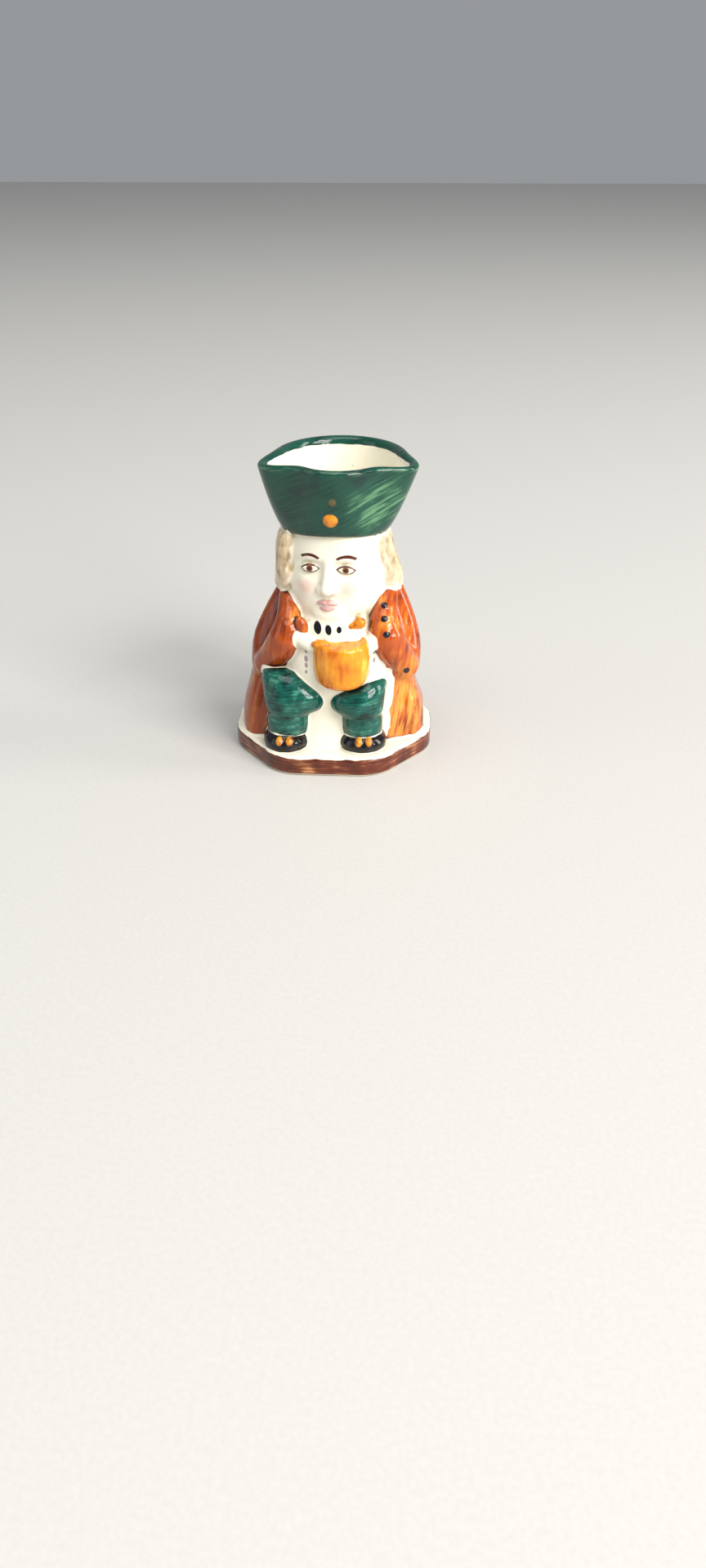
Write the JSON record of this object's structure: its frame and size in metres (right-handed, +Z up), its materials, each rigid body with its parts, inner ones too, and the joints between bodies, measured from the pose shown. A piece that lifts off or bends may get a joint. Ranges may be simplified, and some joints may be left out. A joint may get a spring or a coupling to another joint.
{
  "type": "toby jug",
  "caption": "Small glazed earthenware jug shaped as a seated drinker in a cocked hat, hollow and open through the hat, with a strap handle at the back",
  "frame": {"origin": "On the table under the jug, below the middle of its bounding box", "axes": "+Z up through the hat; the figure faces -Y and the handle is on the +Y side; +X is to the right of someone who looks at its face"},
  "size_m": [0.06, 0.0654, 0.0885],
  "materials": {
    "glazed_earthenware": "gloss"
  },
  "bodies": {
    "root": {"toby_jug": "glazed_earthenware"}
  },
  "joints": []
}
